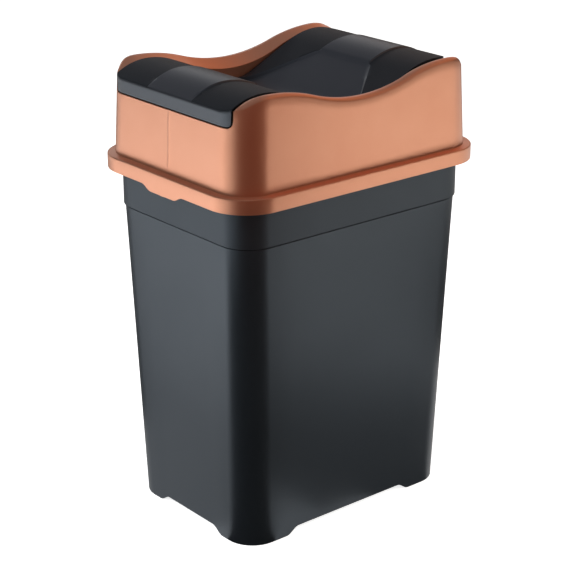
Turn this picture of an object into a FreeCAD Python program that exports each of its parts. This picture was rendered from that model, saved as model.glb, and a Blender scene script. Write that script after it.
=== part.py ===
import FreeCAD
import Part
import Sketcher
import math
import os
from types import SimpleNamespace

# Swing-lid trash can, in millimetres: +Z up, +Y to the back, z = 0 under the feet.
# A tapered bucket carries a lid frame, and a wave-shaped flap rocks on two pins inside the frame.

SIZES = {
    # Bucket: a rim that overhangs the upper band, and a wall that tapers in from the band to the floor
    "bucket_height": 347.8,
    "bucket_corner": 29.0,
    "bucket_taper": 9.5,
    "bucket_wall": 2.2,
    "bucket_floor": 2.6,
    "band_height": 47.8,
    "band_step": 1.6,
    "rim_depth": 8.0,
    "rim_overhang_side": 9.2,
    "rim_overhang_end": 10.2,
    # Feet: the wall runs down to the floor at the corners and is cut away between them
    "foot_height": 6.8,
    "foot_ring": 7.0,
    "foot_run_front": 47.0,
    "foot_run_side": 54.5,
    "foot_curve": 15.0,
    "foot_curve_radius": 16.0,
    # Lid frame: skirt, ledge, leaning collar and wavy rim
    "skirt_width": 225.0,
    "skirt_length": 300.0,
    "skirt_corner": 40.0,
    "skirt_height": 14.0,
    "skirt_edge_round": 1.2,
    "lid_wall": 2.2,
    "lid_clearance": 0.5,
    "ledge": 8.0,
    "ledge_round": 1.6,
    "collar_corner": 31.0,
    "collar_lean_angle": 2.25,
    "rim_crest_rise": 86.0,
    "rim_crest_inset": 34.0,
    "rim_end_radius": 46.0,
    "rim_valley_drop": 17.4,
    "rim_round": 3.6,
    "facet_valley_drop": 26.5,
    "facet_crest_drop": 3.4,
    "facet_width": 9.0,
    "tab_width": 62.0,
    "tab_curve": 14.0,
    "tab_drop": 5.0,
    "tab_radius": 22.0,
    # Mouth of the frame, its notches at the front and back, and the cheeks beside the flap
    "mouth_side_inset": 18.0,
    "mouth_end_inset": 9.0,
    "mouth_floor_drop": 14.0,
    "notch_round": 6.0,
    "cheek_wall": 2.2,
    "cheek_drop": 10.0,
    # Flap: a wave of one thickness with a lip at the front and a skirt at the tail
    "flap_gap": 1.4,
    "flap_wall": 2.4,
    "flap_crest_drop": 1.6,
    "flap_crest_inset": 39.0,
    "flap_crest_radius": 80.0,
    "flap_end_radius": 64.0,
    "flap_valley_radius": 50.0,
    "flap_slope_angle": 26.0,
    "lip_gap": 1.0,
    "lip_height": 13.4,
    "lip_wall": 3.2,
    "lip_round": 1.6,
    "tail_inset": 13.0,
    "tail_corner": 26.0,
    "tail_drop": 24.0,
    # Middle of the flap: a runner that stands proud of the wings over both humps, and between its two
    # halves a sunken panel that flares out to the full width in the valley
    "runner_rise": 1.3,
    "runner_end_width": 62.0,
    "runner_fade": 4.0,
    "panel_depth": 1.9,
    "panel_width": 69.0,
    "panel_knee_inset": 2.0,
    "panel_flare": 2.0,
    # Hinge
    "pin_diameter": 6.0,
    "pin_head_diameter": 11.0,
    "pin_head": 2.0,
    "pin_head_gap": 0.3,
    "pin_seat": 8.0,
    "pin_clearance": 0.06,
    "pivot_set_back": 10.0,
    "pivot_drop": 11.5,
    "ear_wall": 5.0,
    "ear_inset": 1.6,
    "ear_radius": 8.0,
    "boss_diameter": 14.0,
    "boss_length": 11.0,
    # How far every cutting shape runs past what it cuts
    "overrun": 20.0,
}


class Size:
    """A size with its value and the expression that features are bound to."""

    def __init__(self, value, text):
        self.value = value
        self.text = text

    def pair(self, other):
        return other if isinstance(other, Size) else Size(other, repr(other))

    def __add__(self, other):
        other = self.pair(other)
        return Size(self.value + other.value, f"({self.text} + {other.text})")

    def __sub__(self, other):
        other = self.pair(other)
        return Size(self.value - other.value, f"({self.text} - {other.text})")

    def __mul__(self, other):
        other = self.pair(other)
        return Size(self.value * other.value, f"({self.text} * {other.text})")

    def __truediv__(self, other):
        other = self.pair(other)
        return Size(self.value / other.value, f"({self.text} / {other.text})")

    def __neg__(self):
        return Size(-self.value, f"(-1 * {self.text})")


zero = Size(0.0, "0")


def root(size):
    return Size(math.sqrt(size.value), f"sqrt({size.text})")


def sine(angle):
    return Size(math.sin(math.radians(angle.value)), f"sin({angle.text})")


def cosine(angle):
    return Size(math.cos(math.radians(angle.value)), f"cos({angle.text})")


def tangent(angle):
    return Size(math.tan(math.radians(angle.value)), f"tan({angle.text})")


def leg(slant, other):
    """The other short side of a right triangle."""
    return root(slant * slant - other * other)


doc = FreeCAD.newDocument("swing_lid_trash_can")
sheet = doc.addObject("Spreadsheet::Sheet", "Sizes")
for row, (name, value) in enumerate(SIZES.items(), start=1):
    sheet.set(f"A{row}", name)
    sheet.set(f"B{row}", str(value))
    sheet.setAlias(f"B{row}", name)
doc.recompute()
s = SimpleNamespace(**{name: Size(value, f"Sizes.{name}") for name, value in SIZES.items()})


# Sketches and features

def new_body(name):
    body = doc.addObject("PartDesign::Body", name)
    body.Label = name
    return body


def new_sketch(body, name, role, offset=None):
    """A sketch on one of the body's own origin planes, moved along its normal by offset."""
    sketch = body.newObject("Sketcher::SketchObject", name)
    plane = next(feature for feature in body.Origin.OriginFeatures if feature.Role == role)
    sketch.AttachmentSupport = (plane, [""])
    sketch.MapMode = "FlatFace"
    if offset is not None:
        sketch.AttachmentOffset = FreeCAD.Placement(FreeCAD.Vector(0, 0, offset.value), FreeCAD.Rotation())
        sketch.setExpression("AttachmentOffset.Base.z", offset.text)
    return sketch


def bind(sketch, kind, name, size, *places):
    """One constraint, tied to its size."""
    index = sketch.addConstraint(Sketcher.Constraint(kind, *places, size.value))
    sketch.renameConstraint(index, name)
    sketch.setExpression(f"Constraints.{name}", size.text)


def arc_between(start, end, radius, turn):
    """An arc of less than half a circle: turn 1 goes anticlockwise from start to end, -1 clockwise."""
    chord = end - start
    rise = math.sqrt(radius ** 2 - (chord.Length / 2) ** 2)
    normal = FreeCAD.Vector(-chord.y, chord.x, 0).normalize()
    centre = (start + end) / 2 + normal * rise * turn
    first, last = (start, end) if turn > 0 else (end, start)
    angles = [math.atan2(point.y - centre.y, point.x - centre.x) for point in (first, last)]
    return Part.ArcOfCircle(Part.Circle(centre, FreeCAD.Vector(0, 0, 1), radius), *angles)


def draw(sketch, outline):
    """Closes an outline: each entry is (x, y), or (x, y, radius, turn) where an arc leads on."""
    points = [FreeCAD.Vector(entry[0].value, entry[1].value, 0) for entry in outline]
    first_index = sketch.GeometryCount
    ends = []
    for place, entry in enumerate(outline):
        start, end = points[place], points[(place + 1) % len(points)]
        if len(entry) == 2:
            sketch.addGeometry(Part.LineSegment(start, end), False)
            ends.append((1, 2))
        else:
            sketch.addGeometry(arc_between(start, end, entry[2].value, entry[3]), False)
            ends.append((1, 2) if entry[3] > 0 else (2, 1))
    for place, entry in enumerate(outline):
        edge = first_index + place
        after = (place + 1) % len(outline)
        sketch.addConstraint(
            Sketcher.Constraint("Coincident", edge, ends[place][1], first_index + after, ends[after][0]))
        for kind, axis, size in (("DistanceX", -2, entry[0]), ("DistanceY", -1, entry[1])):
            if size.value == 0:
                sketch.addConstraint(Sketcher.Constraint("PointOnObject", edge, ends[place][0], axis))
            else:
                bind(sketch, kind, f"{kind}_{edge}", size, -1, 1, edge, ends[place][0])
        if len(entry) > 2:
            bind(sketch, "Radius", f"Radius_{edge}", entry[2], edge)


def rounded_rectangle(half_width, half_length, corner):
    """Outline of a rectangle about the origin, with round corners."""
    inner_x, inner_y = half_width - corner, half_length - corner
    return [
        (-inner_x, -half_length), (inner_x, -half_length, corner, 1),
        (half_width, -inner_y), (half_width, inner_y, corner, 1),
        (inner_x, half_length), (-inner_x, half_length, corner, 1),
        (-half_width, inner_y), (-half_width, -inner_y, corner, 1),
    ]


def rectangle(left, bottom, right, top):
    return [(left, bottom), (right, bottom), (right, top), (left, top)]


def extrude(kind, body, sketch, length):
    """A pad along the sketch's normal, or a pocket against it."""
    feature = body.newObject(f"PartDesign::{kind}", f"{sketch.Name}_{kind.lower()}")
    feature.Profile = sketch
    feature.Length = length.value
    feature.setExpression("Length", length.text)
    sketch.Visibility = False
    return feature


def loft(kind, body, lower, upper):
    """A straight-sided transition between two sketches."""
    feature = body.newObject(f"PartDesign::{kind}", f"{lower.Name}_loft")
    feature.Profile = lower
    feature.Sections = [upper]
    feature.Ruled = True
    return feature


def block(kind, body, name, role, offset, outlines, length):
    """A pad or pocket of one or more outlines drawn on a plane."""
    sketch = new_sketch(body, name, role, offset)
    for outline in outlines:
        draw(sketch, outline)
    return extrude(kind, body, sketch, length)


def combine(kind, body, tool):
    feature = body.newObject("PartDesign::Boolean", f"{tool.Name}_{kind.lower()}")
    feature.Type = kind
    feature.setObjects([tool])
    return feature


def dress(kind, body, base, edges, amount):
    """Rounds or chamfers the edges of base that the test picks."""
    doc.recompute()
    names = [f"Edge{i}" for i, edge in enumerate(base.Shape.Edges, start=1) if edges(edge)]
    feature = body.newObject(f"PartDesign::{kind}", f"{base.Name}_{kind.lower()}")
    feature.Base = (base, names)
    bound = "Radius" if kind == "Fillet" else "Size"
    setattr(feature, bound, amount.value)
    feature.setExpression(bound, amount.text)
    return feature


tolerance = 1e-4


def inside_rectangle(point, half_width, half_length):
    return abs(point.x) < half_width.value + tolerance and abs(point.y) < half_length.value + tolerance


def middle(edge):
    return edge.valueAt((edge.FirstParameter + edge.LastParameter) / 2)


# Levels and half sizes that several pieces share

skirt_top = s.bucket_height + s.lid_wall
skirt_bottom = skirt_top - s.skirt_height
rim_crest = skirt_top + s.rim_crest_rise
rim_valley = rim_crest - s.rim_valley_drop
facet_valley = rim_crest - s.facet_valley_drop
collar_half_width = s.skirt_width / 2 - s.ledge
collar_half_length = s.skirt_length / 2 - s.ledge
rim_crest_reach = collar_half_length - s.rim_crest_inset
mouth_half = collar_half_width - s.mouth_side_inset
mouth_half_length = collar_half_length - s.mouth_end_inset
flap_half = mouth_half - s.flap_gap
flap_crest_reach = collar_half_length - s.flap_crest_inset
tail_reach = collar_half_length - s.tail_inset


def collar_inset(level):
    """How far the leaning collar has come in at a level."""
    return (level - skirt_top) * tangent(s.collar_lean_angle)


# The flap's wave, seen from the side: crest arcs, straight slopes and a valley arc
flap_crest = rim_crest - s.flap_crest_drop
slope_end = flap_crest_reach - s.flap_crest_radius * sine(s.flap_slope_angle)
slope_run = slope_end - s.flap_valley_radius * sine(s.flap_slope_angle)
arc_drop_share = cosine(s.flap_slope_angle) * -1.0 + 1.0
flap_valley = (flap_crest - (s.flap_crest_radius + s.flap_valley_radius) * arc_drop_share
               - slope_run * tangent(s.flap_slope_angle))
lip_inset = collar_inset((flap_crest + flap_valley) / 2)
lip_reach = collar_half_length - lip_inset
lip_top = flap_crest - s.flap_end_radius + leg(s.flap_end_radius, lip_reach - flap_crest_reach)
lip_bottom = lip_top - s.lip_height
notch_level = lip_bottom - s.lip_gap
pivot_level = flap_valley - s.pivot_drop

# The sunken panel's knees lie just under the top of the slopes
panel_knee = slope_end - s.panel_knee_inset

# The runner comes down to the wings just behind the lip, so its end arc is tighter than theirs
fade_run = lip_reach - s.runner_fade - flap_crest_reach
fade_fall = s.flap_end_radius - leg(s.flap_end_radius, fade_run) + s.runner_rise
runner_end_radius = (fade_run * fade_run + fade_fall * fade_fall) / (fade_fall * 2)


def wave_chain(rise, end_radius, depth, front, back):
    """One of the flap's surfaces from front to back, as entries for an outline.

    The surface lies rise above the wings, and depth is measured square to it.
    """
    end, crest = end_radius - depth, s.flap_crest_radius + rise - depth
    valley = s.flap_valley_radius - rise + depth
    end_centre = flap_crest + rise - end_radius
    crest_centre = flap_crest - s.flap_crest_radius
    valley_centre = flap_valley + s.flap_valley_radius
    crest_run, crest_fall = crest * sine(s.flap_slope_angle), crest * cosine(s.flap_slope_angle)
    valley_run, valley_fall = valley * sine(s.flap_slope_angle), valley * cosine(s.flap_slope_angle)
    reach = flap_crest_reach
    return [
        (-front, end_centre + leg(end, front - reach), end, -1),
        (-reach, flap_crest + rise - depth, crest, -1),
        (-reach + crest_run, crest_centre + crest_fall),
        (-valley_run, valley_centre - valley_fall, valley, 1),
        (valley_run, valley_centre - valley_fall),
        (reach - crest_run, crest_centre + crest_fall, crest, -1),
        (reach, flap_crest + rise - depth, end, -1),
        (back, end_centre + leg(end, back - reach)),
    ]


def wing_chain(depth, front, back):
    return wave_chain(zero, s.flap_end_radius, depth, front, back)


def runner_chain(depth, front, back):
    return wave_chain(s.runner_rise, runner_end_radius, depth, front, back)


def reverse_chain(chain):
    """The same run of lines and arcs, walked backwards."""
    turned = []
    for place in range(len(chain) - 1, -1, -1):
        bend = chain[place - 1][2:] if place else ()
        turned.append(chain[place][:2] + tuple(bend[:1]) + tuple(-turn for turn in bend[1:]))
    return turned


def circle(sketch, radius):
    """A circle about the hinge axis, on a plane square to it."""
    centre = FreeCAD.Vector(s.pivot_set_back.value, pivot_level.value, 0)
    edge = sketch.addGeometry(Part.Circle(centre, FreeCAD.Vector(0, 0, 1), radius.value), False)
    bind(sketch, "DistanceX", "pivot_y", s.pivot_set_back, -1, 1, edge, 3)
    bind(sketch, "DistanceY", "pivot_z", pivot_level, -1, 1, edge, 3)
    bind(sketch, "Radius", "radius", radius, edge)


# Bucket: half sizes of its outside at the rim, the band, the wall right under the band and the floor

band_level = s.bucket_height - s.band_height
rim_cover = s.lid_wall + s.lid_clearance
rim_x, rim_y = s.skirt_width / 2 - rim_cover, s.skirt_length / 2 - rim_cover
band_x, band_y = rim_x - s.rim_overhang_side, rim_y - s.rim_overhang_end
edge_x, edge_y = band_x - s.band_step, band_y - s.band_step
base_x, base_y = edge_x - s.bucket_taper, edge_y - s.bucket_taper


def bucket_inset(level):
    """How far the tapered wall has come in at a level under the band."""
    return s.bucket_taper * (band_level - level) / band_level


def foot_gap(half_gap):
    """Outline of the cut between two feet: a flat top that runs down to the floor in an S at each end."""
    outer, inner = half_gap + s.foot_curve / 2, half_gap - s.foot_curve / 2
    radius = s.foot_curve_radius
    return [
        (-outer, -s.overrun), (outer, -s.overrun), (outer, zero, radius, -1),
        (half_gap, s.foot_height / 2, radius, 1), (inner, s.foot_height), (-inner, s.foot_height, radius, 1),
        (-half_gap, s.foot_height / 2, radius, -1), (-outer, zero),
    ]


def make_bucket():
    body = new_body("bucket")
    corner, wall = s.bucket_corner, s.bucket_wall
    base = new_sketch(body, "base_outline", "XY_Plane")
    draw(base, rounded_rectangle(base_x, base_y, corner))
    edge = new_sketch(body, "band_edge_outline", "XY_Plane", band_level)
    draw(edge, rounded_rectangle(edge_x, edge_y, corner))
    loft("AdditiveLoft", body, base, edge)

    band_corner = corner + s.band_step
    block("Pad", body, "band", "XY_Plane", band_level, [rounded_rectangle(band_x, band_y, band_corner)],
          s.band_height)
    rim_corner = s.skirt_corner - rim_cover
    block("Pad", body, "rim", "XY_Plane", s.bucket_height - s.rim_depth,
          [rounded_rectangle(rim_x, rim_y, rim_corner)], s.rim_depth)
    block("Pocket", body, "rim_hollow", "XY_Plane", s.bucket_height - wall,
          [rounded_rectangle(rim_x - wall, rim_y - wall, rim_corner - wall),
           rounded_rectangle(band_x, band_y, band_corner)], s.rim_depth - wall)

    floor_top = s.foot_height + s.bucket_floor
    inset = bucket_inset(floor_top) + wall
    inside = new_sketch(body, "inside_floor", "XY_Plane", floor_top)
    draw(inside, rounded_rectangle(edge_x - inset, edge_y - inset, corner - wall))
    inside_edge = new_sketch(body, "inside_band_edge", "XY_Plane", band_level)
    draw(inside_edge, rounded_rectangle(edge_x - wall, edge_y - wall, corner - wall))
    loft("SubtractiveLoft", body, inside, inside_edge)
    block("Pocket", body, "inside_band", "XY_Plane", s.bucket_height + s.overrun,
          [rounded_rectangle(edge_x - wall, edge_y - wall, corner - wall)], s.band_height + s.overrun)

    ring = s.foot_ring
    block("Pocket", body, "underside", "XY_Plane", s.foot_height,
          [rounded_rectangle(base_x - ring, base_y - ring, corner - ring)], s.foot_height + s.overrun)
    reach_y = band_y + s.overrun
    block("Pocket", body, "front_foot_gap", "XZ_Plane", reach_y,
          [foot_gap(base_x - s.foot_run_front)], reach_y * 2)
    reach_x = band_x + s.overrun
    block("Pocket", body, "side_foot_gap", "YZ_Plane", reach_x,
          [foot_gap(base_y - s.foot_run_side)], reach_x * 2)
    return body


# Lid frame

def rim_wave(valley, crest):
    """The rim's wave from front to back, as entries for an outline: end arcs, crest arcs and a valley arc."""
    half_run, half_rise = rim_crest_reach / 2, (crest - valley) / 2
    radius = (half_run * half_run + half_rise * half_rise) / (half_rise * 2)
    end, end_radius = collar_half_length, s.rim_end_radius
    end_level = crest - end_radius + leg(end_radius, end - rim_crest_reach)
    return [
        (-end, end_level, end_radius, -1), (-rim_crest_reach, crest, radius, -1),
        (-half_run, valley + half_rise, radius, 1), (half_run, valley + half_rise, radius, -1),
        (rim_crest_reach, crest, end_radius, -1), (end, end_level),
    ]


def above(wave):
    """The region over a wave, past the frame on every side."""
    far, top = s.skirt_length / 2 + s.overrun, rim_crest + s.overrun
    return wave + [(far, wave[-1][1]), (far, top), (-far, top), (-far, wave[0][1])]


def pull_tab():
    """Outline of the tab that hangs under the skirt's front, rooted in the skirt."""
    half, run, low = s.tab_width / 2, s.tab_curve, skirt_bottom - s.tab_drop
    root_level = skirt_top - s.lid_wall
    return [
        (half, root_level), (-half, root_level), (-half, skirt_bottom, s.tab_radius, -1),
        (-half + run / 2, skirt_bottom - s.tab_drop / 2, s.tab_radius, 1), (-half + run, low),
        (half - run, low, s.tab_radius, 1), (half - run / 2, skirt_bottom - s.tab_drop / 2, s.tab_radius, -1),
        (half, skirt_bottom),
    ]


def make_lid_hollow(end):
    """The space inside the frame, split by the two cheeks."""
    body = new_body("lid_hollow")
    top = rim_crest + s.overrun
    wall = s.lid_wall
    levels = []
    for name, level in (("hollow_foot", skirt_top - wall), ("hollow_top", top)):
        sketch = new_sketch(body, name, "XY_Plane", level)
        inset = collar_inset(level) + wall
        draw(sketch, rounded_rectangle(collar_half_width - inset, collar_half_length - inset,
                                       s.collar_corner - wall))
        levels.append(sketch)
    loft("AdditiveLoft", body, *levels)
    side = s.skirt_width / 2 + s.overrun
    cover = rim_wave(facet_valley - wall, rim_crest - s.facet_crest_drop - wall)
    block("Pocket", body, "hollow_cover", "YZ_Plane", side, [above(cover)], side * 2)
    low = pivot_level - s.cheek_drop
    outer = mouth_half + s.cheek_wall
    block("Pocket", body, "cheeks", "XZ_Plane", end,
          [rectangle(mouth_half, low, outer, top), rectangle(-outer, low, -mouth_half, top)], end * 2)
    return body


def make_lid_frame():
    body = new_body("lid_frame")
    end = s.skirt_length / 2 + s.overrun
    side = s.skirt_width / 2 + s.overrun
    top = rim_crest + s.overrun

    def on_ledge(edge):
        return abs(middle(edge).z - skirt_top.value) < tolerance

    def ledge_foot(edge):
        return on_ledge(edge) and inside_rectangle(middle(edge), collar_half_width, collar_half_length)

    skirt = block("Pad", body, "skirt", "XY_Plane", skirt_bottom,
                  [rounded_rectangle(s.skirt_width / 2, s.skirt_length / 2, s.skirt_corner)], s.skirt_height)
    dress("Fillet", body, skirt, on_ledge, s.skirt_edge_round)
    block("Pad", body, "pull_tab", "XZ_Plane", s.skirt_length / 2 - s.skirt_corner,
          [pull_tab()], s.skirt_corner)
    levels = []
    for name, level in (("collar_foot", skirt_top), ("collar_top", top)):
        sketch = new_sketch(body, name, "XY_Plane", level)
        inset = collar_inset(level)
        draw(sketch, rounded_rectangle(collar_half_width - inset, collar_half_length - inset,
                                       s.collar_corner))
        levels.append(sketch)
    collar = loft("AdditiveLoft", body, *levels)
    dress("Fillet", body, collar, ledge_foot, s.ledge_round)
    waved = block("Pocket", body, "rim_wave", "YZ_Plane", side,
                  [above(rim_wave(rim_valley, rim_crest))], side * 2)

    def outer_rim(edge):
        point = middle(edge)
        on_top = point.z > rim_valley.value - s.lid_wall.value
        across = abs(edge.tangentAt(edge.FirstParameter).x) > 1 - tolerance and abs(point.x) < tolerance
        return on_top and not across

    dress("Fillet", body, waved, outer_rim, s.rim_round)

    for name, turn in (("right", 1), ("left", -1)):
        edge = new_sketch(body, f"facet_edge_{name}", "YZ_Plane", mouth_half * turn)
        draw(edge, above(rim_wave(facet_valley, rim_crest - s.facet_crest_drop)))
        crown = new_sketch(body, f"facet_crown_{name}", "YZ_Plane", (mouth_half + s.facet_width) * turn)
        draw(crown, above(rim_wave(rim_valley, rim_crest)))
        loft("SubtractiveLoft", body, edge, crown)

    block("Pocket", body, "mouth", "XY_Plane", top,
          [rectangle(-mouth_half, -mouth_half_length, mouth_half, mouth_half_length)],
          top - facet_valley + s.mouth_floor_drop)
    curve = s.notch_round
    block("Pocket", body, "notches", "XZ_Plane", end,
          [[(-mouth_half + curve, notch_level), (mouth_half - curve, notch_level, curve, 1),
            (mouth_half, notch_level + curve), (mouth_half, top), (-mouth_half, top),
            (-mouth_half, notch_level + curve, curve, 1)]], end * 2)
    combine("Cut", body, make_lid_hollow(end))
    inside_x, inside_y = s.skirt_width / 2 - s.lid_wall, s.skirt_length / 2 - s.lid_wall
    block("Pocket", body, "skirt_hollow", "XY_Plane", skirt_top - s.lid_wall,
          [rounded_rectangle(inside_x, inside_y, s.skirt_corner - s.lid_wall)], s.skirt_height + s.tab_drop)
    for name, turn in (("right", 1), ("left", -1)):
        start = mouth_half if turn > 0 else -mouth_half - s.boss_length
        sketch = new_sketch(body, f"boss_{name}", "YZ_Plane", start)
        circle(sketch, s.boss_diameter / 2)
        extrude("Pad", body, sketch, s.boss_length)
        start = mouth_half + s.pin_seat if turn > 0 else -mouth_half + s.overrun
        sketch = new_sketch(body, f"boss_bore_{name}", "YZ_Plane", start)
        circle(sketch, s.pin_diameter / 2)
        extrude("Pocket", body, sketch, s.pin_seat + s.overrun)
    return body


# Swing flap

def lip_corner(inset):
    """The lip's round corner seen from above, with the lip's face set in by inset.

    Gives the corner's centre, the face's reach, the reach where it meets the flap's side, and the radius.
    """
    centre_x = collar_half_width - lip_inset - s.collar_corner
    centre_y = lip_reach - s.collar_corner
    radius = s.collar_corner - inset
    return centre_x, lip_reach - inset, centre_y + leg(radius, flap_half - centre_x), radius


def below_lip_corner(turn):
    """What is cut away to round the lip's lower corner in step with the notch's."""
    radius = s.notch_round - s.flap_gap
    inner, outer = (flap_half - radius) * turn, (flap_half + s.overrun) * turn
    low, high = lip_bottom - s.overrun, lip_bottom + radius
    return [
        (inner, lip_bottom), (inner, low), (outer, low), (outer, high),
        (flap_half * turn, high, radius, -turn),
    ]


def valley_chain(depth, end):
    """The straight slopes and the valley arc, out to a distance each way."""
    valley = s.flap_valley_radius + depth
    run, fall = valley * sine(s.flap_slope_angle), valley * cosine(s.flap_slope_angle)
    centre = flap_valley + s.flap_valley_radius
    level = centre - fall + (end - run) * tangent(s.flap_slope_angle)
    return [(-end, level), (-run, centre - fall, valley, 1), (run, centre - fall), (end, level)]


def make_runner(name, turn):
    """The runner's half over one hump, rooted in the wings' wall: turn -1 is the front, 1 the back."""
    body = new_body(name)
    end_x, knee_x = s.runner_end_width / 2, s.panel_width / 2
    front, back = lip_reach - s.runner_fade / 2, tail_reach - s.flap_wall / 2
    side = knee_x + s.overrun
    sheet = reverse_chain(runner_chain(zero, front, back)) + wing_chain(s.flap_wall / 2, front, back)
    block("Pad", body, f"{name}_sheet", "YZ_Plane", -side, [sheet], side * 2)
    plan = new_body(f"{name}_plan")
    root, knee, far = (panel_knee - s.flap_wall) * turn, panel_knee * turn, (lip_reach + s.overrun) * turn
    outline = [(-knee_x, root), (knee_x, root), (knee_x, knee), (end_x, far), (-end_x, far), (-knee_x, knee)]
    block("Pad", plan, f"{name}_outline", "XY_Plane", pivot_level, [outline],
          rim_crest + s.overrun - pivot_level)
    combine("Common", body, plan)
    return body


def make_panel_tool():
    """What is taken out over the sunken panel, which runs out through the flap's sides in the valley."""
    body = new_body("panel_space")
    knee_x, knee, flare = s.panel_width / 2, panel_knee, s.panel_flare
    wide = flap_half + s.overrun
    outline = [
        (knee_x, -knee), (flap_half, -flare), (wide, -flare), (wide, flare), (flap_half, flare),
        (knee_x, knee), (-knee_x, knee), (-flap_half, flare), (-wide, flare), (-wide, -flare),
        (-flap_half, -flare), (-knee_x, -knee),
    ]
    low = pivot_level - s.overrun
    block("Pad", body, "panel_plan", "XY_Plane", low, [outline], rim_crest + s.overrun - low)
    side = wide + s.overrun
    under = reverse_chain(valley_chain(s.panel_depth, slope_end))
    under += [(-slope_end, low - s.overrun), (slope_end, low - s.overrun)]
    block("Pocket", body, "panel_floor", "YZ_Plane", side, [under], side * 2)
    return body


def ear_outline():
    """A hinge ear: round about the pin below, and running up into the valley's floor."""
    pivot_y, radius = s.pivot_set_back, s.ear_radius
    root_level = flap_valley - s.panel_depth - s.flap_wall / 2
    return [
        (pivot_y - radius, pivot_level, radius, 1), (pivot_y, pivot_level - radius, radius, 1),
        (pivot_y + radius, pivot_level), (pivot_y + radius, root_level), (pivot_y - radius, root_level),
    ]


def make_swing_flap():
    body = new_body("swing_flap")
    front, back = lip_reach + s.flap_wall, tail_reach
    lip_x, lip_y, lip_side, lip_radius = lip_corner(zero)
    _, in_y, in_side, in_radius = lip_corner(s.lip_wall)
    lip = [
        (-lip_x, -lip_y), (lip_x, -lip_y, lip_radius, 1),
        (flap_half, -lip_side), (flap_half, -in_side, in_radius, -1),
        (lip_x, -in_y), (-lip_x, -in_y, in_radius, -1),
        (-flap_half, -in_side), (-flap_half, -lip_side, lip_radius, 1),
    ]
    block("Pad", body, "lip", "XY_Plane", lip_bottom, [lip], flap_crest - lip_bottom)
    tail, tail_x = tail_reach, flap_half - s.tail_corner
    tail_y, wall = tail - s.tail_corner, s.flap_wall
    tail_in = s.tail_corner - wall
    skirt = [
        (flap_half, tail_y, s.tail_corner, 1), (tail_x, tail),
        (-tail_x, tail, s.tail_corner, 1), (-flap_half, tail_y),
        (-flap_half + wall, tail_y, tail_in, -1), (-tail_x, tail - wall),
        (tail_x, tail - wall, tail_in, -1), (flap_half - wall, tail_y),
    ]
    block("Pad", body, "tail_skirt", "XY_Plane", flap_crest - s.tail_drop, [skirt], s.tail_drop)
    side = flap_half + s.overrun
    far = s.skirt_length / 2 + s.overrun
    for name, turn in (("right", 1), ("left", -1)):
        block("Pocket", body, f"lip_corner_{name}", "XZ_Plane", far, [below_lip_corner(turn)],
              far - flap_crest_reach)
    core = wing_chain(s.flap_wall / 2, front, back + s.flap_wall)
    over = core + [(far, core[-1][1]), (far, rim_crest + s.overrun),
                   (-far, rim_crest + s.overrun), (-far, core[0][1])]
    block("Pocket", body, "strip_trim", "YZ_Plane", side, [over], side * 2)
    sheet = reverse_chain(wing_chain(zero, front, back)) + wing_chain(s.flap_wall, front, back)
    block("Pad", body, "wings", "YZ_Plane", -flap_half, [sheet], flap_half * 2)
    plan = [
        (-lip_x, -lip_y), (lip_x, -lip_y, lip_radius, 1),
        (flap_half, -lip_side), (flap_half, tail_y, s.tail_corner, 1),
        (tail_x, tail), (-tail_x, tail, s.tail_corner, 1),
        (-flap_half, tail_y), (-flap_half, -lip_side, lip_radius, 1),
    ]
    top = rim_crest + s.overrun
    trimmed = block("Pocket", body, "plan_trim", "XY_Plane", top,
                    [rectangle(-far, -far, far, far), plan], top - pivot_level + s.overrun)

    def lip_edge(edge):
        point = middle(edge)
        return point.y < -lip_side.value + s.flap_wall.value and point.z > lip_top.value - s.flap_wall.value

    dress("Fillet", body, trimmed, lip_edge, s.lip_round)
    for name, turn in (("runner_front", -1), ("runner_back", 1)):
        combine("Fuse", body, make_runner(name, turn))
    floor = reverse_chain(valley_chain(s.panel_depth, slope_end))
    floor += valley_chain(s.panel_depth + s.flap_wall, slope_end)
    block("Pad", body, "valley_floor", "YZ_Plane", -flap_half, [floor], flap_half * 2)
    combine("Cut", body, make_panel_tool())
    for name, turn in (("right", 1), ("left", -1)):
        outer = flap_half - s.ear_inset
        start = outer - s.ear_wall if turn > 0 else -outer
        block("Pad", body, f"ear_{name}", "YZ_Plane", start, [ear_outline()], s.ear_wall)
    bore = new_sketch(body, "ear_bores", "YZ_Plane", side)
    circle(bore, s.pin_diameter / 2 + s.pin_clearance)
    extrude("Pocket", body, bore, side * 2)
    return body


# Hinge pins

def make_pin(name, turn):
    """A headed pin, pushed outwards through the flap's ear and into the frame's boss."""
    body = new_body(name)
    head_outer = flap_half - s.ear_inset - s.ear_wall - s.pin_head_gap
    head_inner = head_outer - s.pin_head
    shank_end = mouth_half + s.pin_seat
    for part, radius, near, far in (("head", s.pin_head_diameter / 2, head_inner, head_outer),
                                    ("shank", s.pin_diameter / 2, head_inner, shank_end)):
        sketch = new_sketch(body, f"{name}_{part}", "YZ_Plane", near if turn > 0 else -far)
        circle(sketch, radius)
        extrude("Pad", body, sketch, far - near)
    return body


NODES = [make_bucket(), make_lid_frame(), make_swing_flap(), make_pin("hinge_pin_right", 1),
         make_pin("hinge_pin_left", -1)]
doc.recompute()
for item in doc.Objects:
    if "Invalid" in item.State or "Error" in item.State:
        raise RuntimeError(f"{item.Name} failed: {item.State}")
for node in NODES:
    if node.Shape.isNull() or not node.Shape.isValid():
        raise RuntimeError(f"{node.Label} has no valid shape")
    box = node.Shape.optimalBoundingBox()
    print(f"{node.Label}: {len(node.Shape.Solids)} solid, {node.Shape.Volume / 1000:.1f} cm3, "
          f"{box.XLength:.1f} x {box.YLength:.1f} x {box.ZLength:.1f} mm from z {box.ZMin:.1f}")
os.makedirs("parts", exist_ok=True)
for node in NODES:
    node.Shape.exportStep(os.path.join("parts", f"{node.Label}.step"))
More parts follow.
